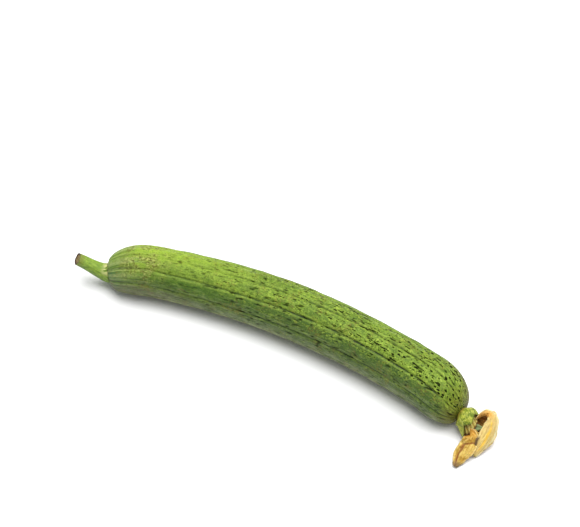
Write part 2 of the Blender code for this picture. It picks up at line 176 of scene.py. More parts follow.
PETALS = (
    {
        "turn": 138,
        "rib": ((7.5, -16.8, 14.4), (20.5, -14, 7.5), (17, 14.5, -7.2)),
        "halves": (2.6, 2.7, 4.0, 5.2, 6.0, 3.6),
        "faces": ((0.5, -0.1, 0.75), (0.75, 0.3, 0.6)),
        "fold": 0.30,
        "skew": 0,
        "creases": (
            (-0.45, 0.30, -0.50, 0.92, 0.40, -0.7),
            (0.90, 0.45, 0.10, 0.66, 0.45, -0.6),
            (0.30, 0.62, 0.05, 0.95, 0.40, 0.7),
        ),
    },
    {
        "turn": 45,
        "rib": ((11.2, 6.5, 2.5), (9.4, 18, -5.5), (13, 29.4, -8)),
        "halves": (3.2, 5.2, 6.3, 2.4),
        "faces": ((-0.1, 0.1, 1), (0.1, 0.1, 1)),
        "fold": 0.25,
        "skew": 0.05,
        "creases": (
            (-0.70, 0.20, 1.00, 0.36, 0.60, 0.9),
            (-0.90, 0.38, 0.35, 0.50, 0.50, -0.6),
            (0.35, 0.50, 0.30, 0.97, 0.45, -0.7),
        ),
    },
    {
        "turn": 70,
        "rib": ((10, 4, -0.3), (13.5, 4, -1), (14.5, 8.2, -6)),
        "halves": (1.6, 2.1, 2.2, 1.2),
        "faces": ((0.3, 0.3, 0.8), (0.3, 0.6, 0.6)),
        "fold": 0.35,
        "skew": 0,
        "creases": (),
    },
    {
        "turn": 188,
        "rib": ((6.5, -9.7, -0.9), (16.8, -10.2, -4.2), (16.5, 9, -7.6)),
        "halves": (3.0, 4.8, 6.8, 6.0, 3.0),
        "faces": ((-0.1, -0.6, -0.8), (0, 0, -1)),
        "fold": 0.12,
        "skew": 0,
        "creases": ((0.10, 0.35, -0.20, 0.90, 0.45, 0.6),),
    },
    {
        "turn": 254,
        "rib": ((4, 0, -7.3), (9, 6, -7.8), (12, 16, -7.8)),
        "halves": (1.3, 3.5, 4.5, 2.0),
        "faces": ((0, 0, -1), (0, 0, -1)),
        "fold": -0.10,
        "skew": 0,
        "creases": ((0.00, 0.30, 0.10, 0.95, 0.50, 0.3),),
    },
)

# The style
STYLE_RADIUS = 0.0011
STIGMA_RADIUS = 0.0024
STIGMA_LOBES = 3
STIGMA_LOBE_DEPTH = 0.28
STIGMA_START = 0.62
STIGMA_WIDEST = 0.80
STYLE_LEAN = (0.0102, -0.0024, 0.0016)
STYLE_RISE = 0.35
STYLE_REACH = 0.75
STYLE_BASE_SHARE = 1 / 13
STIGMA_GRAIN = 0.06
STYLE_SEGMENTS = 60
STYLE_RINGS = 70

JOINT_GAP = 0.0003


def lerp(a, b, t):
    return a + (b - a) * t


def clamp(t):
    return min(1.0, max(0.0, t))


def smooth_step(t):
    t = clamp(t)
    return t * t * (3 - 2 * t)


def through(values, t):
    """A smooth curve through evenly spaced values, read at t from 0 to 1."""
    place = clamp(t) * (len(values) - 1)
    i = min(int(place), len(values) - 2)
    f = place - i
    before = values[max(i - 1, 0)]
    a, b = values[i], values[i + 1]
    after = values[min(i + 2, len(values) - 1)]
    slope_a, slope_b = (b - before) / 2, (after - a) / 2
    return (
        a * (1 + 2 * f) * (1 - f) ** 2
        + slope_a * f * (1 - f) ** 2
        + b * f * f * (3 - 2 * f)
        + slope_b * f * f * (f - 1)
    )


def bezier(points, t):
    a, b, c, d = points
    u = 1 - t
    place = a * u**3 + b * 3 * u * u * t + c * 3 * u * t * t + d * t**3
    heading = (b - a) * u * u + (c - b) * 2 * u * t + (d - c) * t * t
    return place, heading.normalized()


def round_path(path, t, radius, angle):
    place, heading = bezier(path, t)
    side = heading.cross(Vector((0, 0, 1))).normalized()
    over = side.cross(heading)
    return place + side * radius * math.cos(angle) + over * radius * math.sin(angle)


def rough(x, y, z):
    return noise.noise(Vector((x, y, z)))


def closed_surface(name, segments, rings, place, layers=()):
    """A sphere's mesh with each point moved by place(t, angle), which also gives the point's named values."""
    bm = bmesh.new()
    bmesh.ops.create_uvsphere(bm, u_segments=segments, v_segments=rings, radius=1)
    stores = [bm.verts.layers.float.new(layer) for layer in layers]
    for vertex in bm.verts:
        x, y, z = vertex.co
        t = math.acos(max(-1.0, min(1.0, z))) / math.pi
        angle = math.atan2(y, x) if abs(z) < 1 - 1e-7 else 0.0
        vertex.co, values = place(t, angle)
        for store, value in zip(stores, values):
            vertex[store] = value
    if bm.calc_volume(signed=True) < 0:
        bmesh.ops.reverse_faces(bm, faces=bm.faces)
    mesh = bpy.data.meshes.new(name)
    bm.to_mesh(mesh)
    bm.free()
    mesh.shade_smooth()
    return mesh


def add_piece(name, mesh, material, node):
    mesh.materials.append(material)
    piece = bpy.data.objects.new(name, mesh)
    bpy.context.scene.collection.objects.link(piece)
    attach(piece, "root")
    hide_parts(node)
    return piece


# The fruit


def belly_radius(s):
    return through(BELLY_RADII, (s - STEM_END) / BODY_LENGTH)


def rounded_end(distance, shoulder, bluntness):
    inward = 1 - clamp(distance / shoulder)
    return (1 - inward**bluntness) ** (1 / bluntness)


def body_radius(s):
    stem_share = rounded_end(s - STEM_END, STEM_SHOULDER, STEM_BLUNTNESS)
    blossom_share = rounded_end(BLOSSOM_END - s, BLOSSOM_SHOULDER, BLOSSOM_BLUNTNESS)
    return lerp(BLOSSOM_SCAR_RADIUS, lerp(STEM_SCAR_RADIUS, belly_radius(s), stem_share), blossom_share)


def body_axis(s):
    turn = s / BEND_RADIUS
    along = Vector((math.cos(turn), -math.sin(turn), 0))
    side = Vector((math.sin(turn), math.cos(turn), 0))
    point = Vector((BEND_RADIUS * math.sin(turn), -BEND_RADIUS * (1 - math.cos(turn)), 0))
    point.z = belly_radius(s) - RESTING_FLAT
    for shift, distance in ((STEM_END_SHIFT, s - STEM_END), (BLOSSOM_END_SHIFT, BLOSSOM_END - s)):
        share = max(0.0, 1 - distance / SHIFT_LENGTH) ** 2
        point += side * shift[0] * share + Vector((0, 0, shift[1] * share))
    return point, along, side


def scar_lean(s, radius, angle):
    share = max(0.0, 1 - (s - STEM_END) / SHIFT_LENGTH) ** 2
    return SCAR_LEAN * share * radius * math.cos(angle - SCAR_LEAN_TURN)


def groove_distance(angle, s):
    """The angle from the nearest groove's middle."""
    turned = angle - GROOVE_TURN - GROOVE_WANDER * math.sin(WANDER_RATE * s)
    spacing = TAU / RIBS
    return (turned + spacing / 2) % spacing - spacing / 2


def groove_strength(s, angle):
    """How dark a groove is: each its own share, less towards the stem, with gaps along it."""
    turned = angle - GROOVE_TURN - GROOVE_WANDER * math.sin(WANDER_RATE * s)
    index = round(turned / (TAU / RIBS)) % RIBS
    share = 1.0 if index == STRONGEST_GROOVE else 0.62 + 0.30 * math.sin(5.1 * index)
    ahead = smooth_step((s - STEM_END) / (0.75 * BODY_LENGTH))
    gaps = smooth_step(0.75 + 1.6 * rough(s / 0.017, 3.7 * index, 2) + 0.35 * ahead)
    return share * lerp(0.40, 1.0, ahead) * lerp(0.25, 1.0, gaps)


def flank_share(s, angle):
    """1 on the flanks below the strongest groove and its far counterpart, 0 on the upper side."""
    turned = (angle - GROOVE_TURN - GROOVE_WANDER * math.sin(WANDER_RATE * s)) % TAU
    near = smooth_step((STRONGEST_GROOVE * TAU / RIBS - turned) / NEAR_FLANK_ANGLE)
    far = smooth_step((turned - 2 * TAU / RIBS) / FAR_FLANK_ANGLE)
    return near * far


def rib_relief(angle, s):
    turned = angle - GROOVE_TURN - GROOVE_WANDER * math.sin(WANDER_RATE * s)
    valley = (0.5 + 0.5 * math.cos(RIBS * turned)) ** 2
    groove = math.exp(-((groove_distance(angle, s) / GROOVE_HALF_ANGLE) ** 2))
    return -VALLEY_DEPTH * valley - GROOVE_DEPTH * groove


def lumps(s, angle):
    reach = BELLY_RADII[3] / LUMP_WIDTH
    return LUMP_HEIGHT * rough(s / LUMP_LENGTH, reach * math.cos(angle), reach * math.sin(angle))


def skin_place(t, angle, rings, crowding):
    """Arc length, angle and scar share of a mesh point. Rings crowd to the ends and points to the grooves."""
    scar = 1 / rings
    travel = clamp((t - scar) / (1 - 2 * scar))
    s = STEM_END + BODY_LENGTH * (travel - END_CROWDING * math.sin(TAU * travel) / TAU)
    angle -= crowding / RIBS * math.sin(RIBS * angle)
    angle += GROOVE_TURN + GROOVE_WANDER * math.sin(WANDER_RATE * s)
    return s, angle, min(1.0, t / scar, (1 - t) / scar)


def skin_point(s, angle, inward, detail):
    point, along, side = body_axis(s)
    radius = body_radius(s)
    fullness = radius / belly_radius(s)
    radius += (rib_relief(angle, s) + lumps(s, angle) + detail) * fullness
    radius *= inward
    point += Vector((0, 0, 1)) * radius * math.cos(angle) + side * radius * math.sin(angle)
    point += along * scar_lean(s, radius, angle)
    point.z = max(point.z, 0.0)
    return point


def solid_low_corner():
    """The lowest corner of the plain solid of the fruit, before it was set over the frame's origin."""
    low = Vector((1e9, 1e9, 1e9))
    for i in range(SOLID_RINGS + 1):
        for j in range(SOLID_SEGMENTS):
            place = skin_place(i / SOLID_RINGS, TAU * j / SOLID_SEGMENTS, SOLID_RINGS, SOLID_CROWDING)
            low = Vector(map(min, low, skin_point(*place, 0.0)))
    return low


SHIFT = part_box("fruit")[0] - solid_low_corner()


def roughness_share(s, angle):
    """How pebbled the skin is: most on the upper side and at the blossom end, least on the stem shoulder."""
    upper = smooth_step(0.5 + 0.6 * math.cos(angle + 0.35))
    ahead = smooth_step((s - STEM_END) / (0.45 * BODY_LENGTH))
    return (0.25 + 0.75 * upper) * (0.30 + 0.70 * ahead)


def pebbles(s, angle):
    """Small swellings and slits, each drawn out along the fruit."""
    y, z = MEAN_RADIUS * math.cos(angle), MEAN_RADIUS * math.sin(angle)
    coarse = rough(s / PEBBLE_LENGTH, y / PEBBLE_WIDTH, z / PEBBLE_WIDTH)
    fine = rough(s / FINE_PEBBLE_LENGTH, y / FINE_PEBBLE_WIDTH, z / FINE_PEBBLE_WIDTH + 7)
    slit = rough(s / SLIT_LENGTH + 31, y / SLIT_WIDTH, z / SLIT_WIDTH)
    slit = -smooth_step((slit - 0.34) / 0.16)
    return PEBBLE_HEIGHT * roughness_share(s, angle) * (coarse + 0.6 * fine + 1.5 * slit), -slit


def fine_skin(t, angle):
    s, angle, inward = skin_place(t, angle, SKIN_RINGS, SKIN_CROWDING)
    off = groove_distance(angle, s)
    jitter = LINE_JITTER * rough(s / 0.006, angle * 3, 1)
    jitter += FINE_LINE_JITTER * rough(s / 0.002, angle * 3, 5)
    strength = groove_strength(s, angle)
    width = LINE_HALF_ANGLE * lerp(0.8, 1.6, strength)
    line = math.exp(-(((off + jitter) / width) ** 2)) * strength
    lip = math.exp(-(((abs(off) - LIP_ANGLE) / LIP_HALF_ANGLE) ** 2))
    bumps, slit = pebbles(s, angle)
    broken = 0.75 + 0.6 * rough(s / 0.009, angle * 5, 9)
    detail = bumps + LIP_HEIGHT * lip * broken
    point = skin_point(s, angle, inward, detail) + SHIFT
    x = (s - STEM_END) / BODY_LENGTH
    slit *= roughness_share(s, angle)
    flank, full = flank_share(s, angle), inward * body_radius(s) / belly_radius(s)
    return point, (x, math.cos(angle), math.sin(angle), line, lip * broken, slit, flank, full)


def make_fruit(material):
    layers = ("length", "over", "side", "line", "lip", "slit", "flank", "full")
    mesh = closed_surface("Fruit", SKIN_SEGMENTS, SKIN_RINGS, fine_skin, layers)
    return add_piece("Fruit", mesh, material, "fruit")


# The stem


def stem_path():
    base, along, side = body_axis(STEM_END)
    down_hill = Vector((0, 0, math.cos(SCAR_LEAN_TURN))) + side * math.sin(SCAR_LEAN_TURN)
    away = (down_hill * SCAR_LEAN - along).normalized()
    rising = Vector((0, 0, math.sin(STEM_RISE))) - along * math.cos(STEM_RISE)
    start = base + away * JOINT_GAP
    end = start + rising * STEM_LENGTH
    square = start + away * STEM_LENGTH * STEM_SQUARE_SHARE
    straight = end - rising * STEM_LENGTH * STEM_STRAIGHT_SHARE
    return start, square, straight, end


STEM_PATH = stem_path()


def stem_point(t, angle):
    """Flat at the fruit, then fluted sides with fine strings, and a dished cut face with a ragged rim."""
    travel = clamp((t - STEM_BASE_SHARE) / (STEM_CUT_SHARE - STEM_BASE_SHARE))
    inward = min(1.0, t / STEM_BASE_SHARE, max(0.0, (1 - t) / (1 - STEM_CUT_SHARE)))
    strings = 0.012 * math.cos(15 * angle + 1)
    strings += 0.016 * rough(3 * math.cos(angle), 3 * math.sin(angle), 2 * travel)
    radius = through(STEM_RADII, travel)
    radius *= 1 + STEM_FLUTE_DEPTH * math.cos(STEM_FLUTES * angle) * travel + strings
    radius *= inward
    heading = bezier(STEM_PATH, 1.0)[1]
    slanted = smooth_step((travel - CUT_SLANT_START) / (1 - CUT_SLANT_START))
    slip = slanted * CUT_SLANT * radius * math.cos(angle - CUT_SLANT_TURN)
    point = round_path(STEM_PATH, travel, radius, angle) + heading * slip
    if t > STEM_CUT_SHARE:
        ragged = rough(9 * inward * math.cos(angle), 9 * inward * math.sin(angle), 0)
        point -= heading * STEM_CUT_DISH * (smooth_step((1 - inward) * 3) + 0.5 * ragged)
    rim = inward if t > STEM_CUT_SHARE else 1.0
    return point + SHIFT, (travel, math.cos(angle), math.sin(angle), rim)


def make_stem(material):
    mesh = closed_surface("Stem", STEM_SEGMENTS, STEM_RINGS, stem_point, ("length", "side", "over", "rim"))
    return add_piece("Stem", mesh, material, "stem")


# The calyx


def flower_offset(ahead, near, up):
    _, along, side = body_axis(BLOSSOM_END)
    return along * ahead - side * near + Vector((0, 0, up))


def flower_frame(t):
    """The flower axis's point at t, with the directions along, across and over."""
    leaving = flower_offset(1, 0, 0)
    arriving = flower_offset(*MOUTH_HEADING).normalized()
    turn = leaving.angle(arriving)
    inward = (arriving - leaving * leaving.dot(arriving)).normalized()
    bend = turn * min(t, 1.0)
    heading = leaving * math.cos(bend) + inward * math.sin(bend)
    place = body_axis(BLOSSOM_END)[0] + leaving * JOINT_GAP
    place += (leaving * math.sin(bend) + inward * (1 - math.cos(bend))) * CALYX_LENGTH / turn
    place += heading * CALYX_LENGTH * max(0.0, t - 1)
    across = arriving.cross(Vector((0, 0, 1))).normalized()
    over = across.cross(heading).normalized()
    return place, heading, heading.cross(over), over


MOUTH = flower_frame(1)[0]


def flower_point(t, radius, angle):
    place, _, across, over = flower_frame(t)
    return place + across * radius * math.cos(angle) + over * radius * math.sin(angle)


def lobe_reach(angle):
    turn = ((angle - LOBE_TURN) / TAU * len(LOBE_LENGTHS)) % len(LOBE_LENGTHS)
    length = LOBE_LENGTHS[int(turn)]
    off_middle = abs(turn % 1 - 0.5) * 2
    return length * (1 - off_middle**LOBE_SHARPNESS)


def mouth_slant(angle):
    return MOUTH_SLANT * (1 + math.cos(angle - MOUTH_SLANT_TURN))


def calyx_point(t, angle):
    inside = t > 0.5
    climb = (1 - t if inside else t) * 2
    ragged = LOBE_RAGGEDNESS * rough(5 * math.cos(angle), 5 * math.sin(angle), 3)
    reach = 1 + (lobe_reach(angle) + ragged) / CALYX_LENGTH - mouth_slant(angle)
    share = max(0.0, climb - CALYX_BASE_SHARE) / (1 - CALYX_BASE_SHARE)
    along = lerp(CALYX_FLOOR if inside else 0.0, reach, share)
    radius = through(CALYX_RADII, along) * (1 + LOBE_FLARE * max(0.0, along - 1))
    rib = math.cos(CALYX_RIBS * (angle - LOBE_TURN))
    if inside:
        radius -= CALYX_WALL * (1 - 0.5 * smooth_step((share - 0.6) / 0.4))
    else:
        body = smooth_step(share * 4)
        radius += CALYX_RIB_HEIGHT * rib * body
        radius += CALYX_BUMP_HEIGHT * body * rough(along * 4, 5 * math.cos(angle), 5 * math.sin(angle))
    point = flower_point(along, radius * min(1.0, climb / CALYX_BASE_SHARE), angle)
    point.z = max(point.z, PETAL_FLOOR / 2 + (CALYX_WALL if inside else 0.0))
    rim = smooth_step((share - 0.88) / 0.12)
    return point + SHIFT, (share, math.cos(angle), math.sin(angle), rib, max(rim, float(inside)))


def make_calyx(material):
    layers = ("length", "over", "side", "rib", "rim")
    mesh = closed_surface("Calyx", CALYX_SEGMENTS, CALYX_RINGS, calyx_point, layers)
    return add_piece("Calyx", mesh, material, "calyx")


# The corolla


def tube_end(angle):
    return TUBE_END + TUBE_SLANT * math.cos(angle - TUBE_SLANT_TURN)


def tube_point(t, angle):
    inside = t > 0.5
    climb = (1 - t if inside else t) * 2
    travel = max(0.0, climb - TUBE_BASE_SHARE) / (1 - TUBE_BASE_SHARE)
    along = lerp(TUBE_FLOOR + (TUBE_FLOOR_THICKNESS if inside else 0.0), tube_end(angle), travel)
    along += TUBE_RAGGEDNESS * travel * rough(2 * math.cos(angle), 2 * math.sin(angle), 8)
    radius = through(TUBE_RADII, travel) - (TUBE_WALL if inside else 0.0)
    pleat = math.cos(PLEATS * angle + 0.8 * rough(2 * math.cos(angle), 2 * math.sin(angle), travel))
    radius += PLEAT_DEPTH * pleat * travel
    radius += FINE_PLEAT_DEPTH * math.cos(3 * PLEATS * angle) * travel
    point = flower_point(along, radius * min(1.0, climb / TUBE_BASE_SHARE), angle)
    return point + SHIFT, (0.12 * travel, 0.0, pleat, -1.0, float(inside), 0.0)


def crinkle(index, q, t):
    along_edges = abs(q) * math.sin(11 * t + 2.5 * q + 2 * index)
    across = 0.6 * math.cos(7 * q + 3 * t + index)
    return CRINKLE * (along_edges + across)


def crease_mark(petal, q, t):
    """The rise of a petal's creases, and how near the point is to a furrow (below 0) or a ridge (above 0)."""
    rise, mark = 0.0, 0.0
    for q0, t0, q1, t1, width, height in petal["creases"]:
        run, step = q1 - q0, CREASE_STRETCH * (t1 - t0)
        wander = 0.10 * rough(9 * t, 3 * q, height)
        share = clamp(((q - q0) * run + CREASE_STRETCH * (t - t0) * step) / (run * run + step * step))
        off = math.hypot(q - q0 - share * run, CREASE_STRETCH * (t - t0) - share * step) + wander
        near = clamp(1 - off / width)
        rise += height * MM * near
        mark = max(mark, near) if height > 0 else min(mark, -near)
    return rise, mark


def petal_point(index, petal, q, t):
    """A point of a petal's middle surface, q from edge to edge and t from root to tip, with its values."""
    turn = math.radians(petal["turn"])
    start = tube_end(turn) - ROOT_DEPTH
    wall = TUBE_RADII[-1] - TUBE_WALL / 2
    root = flower_point(start, wall, turn)
    outward = (root - flower_point(start, 0, turn)).normalized()
    path = [root] + [MOUTH + flower_offset(*point) * MM for point in petal["rib"]]
    place, direction = bezier(path, t + petal["skew"] * q * 4 * t * (1 - t))
    middle, tip = (flower_offset(*face).normalized() for face in petal["faces"])
    facing = outward.lerp(middle, 2 * t) if t < 0.5 else middle.lerp(tip, 2 * t - 1)
    width = direction.cross(facing).normalized()
    normal = width.cross(direction)
    free = smooth_step(t / ROOT_SHARE)
    wear_and_highlight = smooth_step((t - 0.70) / 0.30)
    frayed = 1 + (EDGE_FRAY + TIP_FRAY * wear_and_highlight) * free * rough(14 * t, 2 * (q > 0), 3 * index)
    rounded = math.sqrt(max(0.0, 1 - max(0.0, (t - 0.90) / 0.12) ** 2))
    half = through(petal["halves"], t) * MM * frayed * rounded
    fold = lerp(half / (2 * wall), petal["fold"], free)
    vein = math.cos(math.pi * PETAL_VEINS * q + 0.9 * rough(6 * t, 3 * q, index))
    fine = CRUMPLE * rough(14 * t, 4 * q, 5 * index) + FINE_CRUMPLE * rough(30 * t, 9 * q, 3 + index)
    fine += VEIN_HEIGHT * vein + FRILL * q**6 * math.sin(31 * t + 4 * q + index)
    folded, mark = crease_mark(petal, q, t)
    rise = free * (crinkle(index, q, t) + folded + fine)
    point = place + width * half * q + normal * (rise - fold * half * q * q)
    point += direction * TIP_RAGGEDNESS * wear_and_highlight * rough(3.3 * q, index, 2)
    floor = PETAL_FLOOR - 0.0002 + FLOOR_RIPPLE * math.sin(5 * q + 8 * t)
    point.z = max(point.z, floor + 0.0002 * rough(9 * t, 4 * q, index))
    return point + SHIFT, (t, q, vein, float(index), 0.0, mark)


def make_blade(index, petal, layers):
    """One limp petal as a closed shell of even thickness."""
    bm = bmesh.new()
    bmesh.ops.create_grid(bm, x_segments=PETAL_COLUMNS, y_segments=PETAL_ROWS, size=1)
    stores = [bm.verts.layers.float.new(layer) for layer in layers]
    for vertex in bm.verts:
        vertex.co, values = petal_point(index, petal, vertex.co.x, (vertex.co.y + 1) / 2)
        for store, value in zip(stores, values):
            vertex[store] = value
    mesh = bpy.data.meshes.new(f"Petal.{index}")
    bm.to_mesh(mesh)
    bm.free()
    mesh.shade_smooth()
    blade = bpy.data.objects.new(f"Petal.{index}", mesh)
    bpy.context.scene.collection.objects.link(blade)
    shell = blade.modifiers.new("thickness", "SOLIDIFY")
    shell.thickness = PETAL_THICKNESS
    shell.offset = 0
    return blade


def make_corolla(material):
    layers = ("length", "across", "vein", "which", "inside", "mark")
    tube_mesh = closed_surface("Corolla", TUBE_SEGMENTS, TUBE_RINGS, tube_point, layers)
    tube = bpy.data.objects.new("Corolla", tube_mesh)
    bpy.context.scene.collection.objects.link(tube)
    parts = [tube] + [make_blade(index, petal, layers) for index, petal in enumerate(PETALS)]
    bpy.context.view_layer.update()
    graph = bpy.context.evaluated_depsgraph_get()
    joined = bmesh.new()
    for part in parts:
        joined.from_mesh(bpy.data.meshes.new_from_object(part.evaluated_get(graph)))
    mesh = bpy.data.meshes.new("Corolla")
    joined.to_mesh(mesh)
    joined.free()
    for part in parts:
        bpy.data.objects.remove(part)
    mesh.shade_smooth()
    return add_piece("Corolla", mesh, material, "petals")


# The style


def style_path():
    foot, heading, _, _ = flower_frame(TUBE_FLOOR + TUBE_FLOOR_THICKNESS + GAP_SHARE)
    leaving = flower_frame(1)[1]
    rising = foot + heading * CALYX_LENGTH * STYLE_RISE
    turning = MOUTH + leaving * CALYX_LENGTH * STYLE_REACH
    return foot, rising, turning, MOUTH + flower_offset(*STYLE_LEAN)


STYLE_PATH = style_path()


def style_point(t, angle):
    travel = clamp((t - STYLE_BASE_SHARE) / (1 - STYLE_BASE_SHARE))
    swelling = smooth_step((travel - STIGMA_START) / (STIGMA_WIDEST - STIGMA_START))
    rounding = max(0.0, (travel - STIGMA_WIDEST) / (1 - STIGMA_WIDEST))
    swell = swelling * math.sqrt(max(0.0, 1 - rounding**2))
    fading = 1 - smooth_step((travel - STIGMA_START) / (1 - STIGMA_START))
    column = STYLE_RADIUS * min(1.0, t / STYLE_BASE_SHARE) * fading
    lobe = 1 - STIGMA_LOBE_DEPTH * (1 - math.cos(STIGMA_LOBES * angle))
    grain = 1 + STIGMA_GRAIN * rough(14 * travel, 4 * math.cos(angle), 4 * math.sin(angle)) * swelling
    radius = column + STIGMA_RADIUS * swell * lobe * grain
    return round_path(STYLE_PATH, travel, radius, angle) + SHIFT, (travel,)


def make_style(material):
    mesh = closed_surface("Style", STYLE_SEGMENTS, STYLE_RINGS, style_point, ("length",))
    return add_piece("Style", mesh, material, "style")


# Materials


def paint(red, green, blue):
    """A colour given in everyday 0 to 255 values."""
    values = []
    for value in (red, green, blue):
        value /= 255
        values.append(value / 12.92 if value <= 0.04045 else ((value + 0.055) / 1.055) ** 2.4)
    return (*values, 1.0)


class Painter:
    """Builds one material's nodes, with a short call for each kind."""

    def __init__(self, name, roughness, specular=0.5):
        self.material = bpy.data.materials.new(name)
        self.material.use_nodes = True
        self.nodes = self.material.node_tree.nodes
        self.links = self.material.node_tree.links
        self.shader = self.nodes["Principled BSDF"]
        self.shader.inputs["Roughness"].default_value = roughness
        self.shader.inputs["Specular IOR Level"].default_value = specular

    def put(self, socket, value):
        if isinstance(value, bpy.types.NodeSocket):
            self.links.new(value, socket)
        else:
            socket.default_value = value

    def value(self, name):
        node = self.nodes.new("ShaderNodeAttribute")
        node.attribute_name = name
        return node.outputs["Fac"]

    def calc(self, operation, a, b=0.0, c=0.0):
        node = self.nodes.new("ShaderNodeMath")
        node.operation = operation
        for socket, value in zip(node.inputs, (a, b, c)):
            self.put(socket, value)
        return node.outputs[0]

    def vector(self, x, y, z):
        node = self.nodes.new("ShaderNodeCombineXYZ")
        for socket, value in zip(node.inputs, (x, y, z)):
            self.put(socket, value)
        return node.outputs[0]

    def span(self, value, low, high, start=0.0, end=1.0):
        """The value's place from low to high, eased, as a number from start to end."""
        node = self.nodes.new("ShaderNodeMapRange")
        node.interpolation_type = "SMOOTHSTEP"
        for socket, given in zip(node.inputs, (value, low, high, start, end)):
            self.put(socket, given)
        return node.outputs[0]

    def mix(self, share, a, b, blend="MIX"):
        node = self.nodes.new("ShaderNodeMix")
        node.data_type = "RGBA"
        node.blend_type = blend
        self.put(node.inputs["Factor"], share)
        self.put(node.inputs[6], a)
        self.put(node.inputs[7], b)
        return node.outputs[2]

    def grain(self, place, scale, detail=2.0, rough_share=0.5):
        node = self.nodes.new("ShaderNodeTexNoise")
        self.put(node.inputs["Vector"], place)
        node.inputs["Scale"].default_value = scale
        node.inputs["Detail"].default_value = detail
        node.inputs["Roughness"].default_value = rough_share
        return node.outputs["Fac"]

    def cells(self, place, scale):
        """Distance from the nearest cell's middle, and a random number for that cell."""
        node = self.nodes.new("ShaderNodeTexVoronoi")
        self.put(node.inputs["Vector"], place)
        node.inputs["Scale"].default_value = scale
        split = self.nodes.new("ShaderNodeSeparateColor")
        self.links.new(node.outputs["Color"], split.inputs[0])
        return node.outputs["Distance"], split.outputs[0]

    def finish(self, colour, height=None, distance=0.0002, strength=1.0, roughness=None):
        self.put(self.shader.inputs["Base Color"], colour)
        if roughness is not None:
            self.put(self.shader.inputs["Roughness"], roughness)
        if height is not None:
            bump = self.nodes.new("ShaderNodeBump")
            bump.inputs["Strength"].default_value = strength
            bump.inputs["Distance"].default_value = distance
            self.put(bump.inputs["Height"], height)
            self.put(self.shader.inputs["Normal"], bump.outputs[0])
        return self.material


def straightened(p, length, stretch, full=1.0):
    """Coordinates of a straightened fruit, in millimetres, with the length drawn out by stretch."""
    reach = p.calc("MULTIPLY", full, MEAN_RADIUS / MM)
    return p.vector(
        p.calc("MULTIPLY", p.value("length"), length / MM / stretch),
        p.calc("MULTIPLY", p.value("over"), reach),
        p.calc("MULTIPLY", p.value("side"), reach),
    )


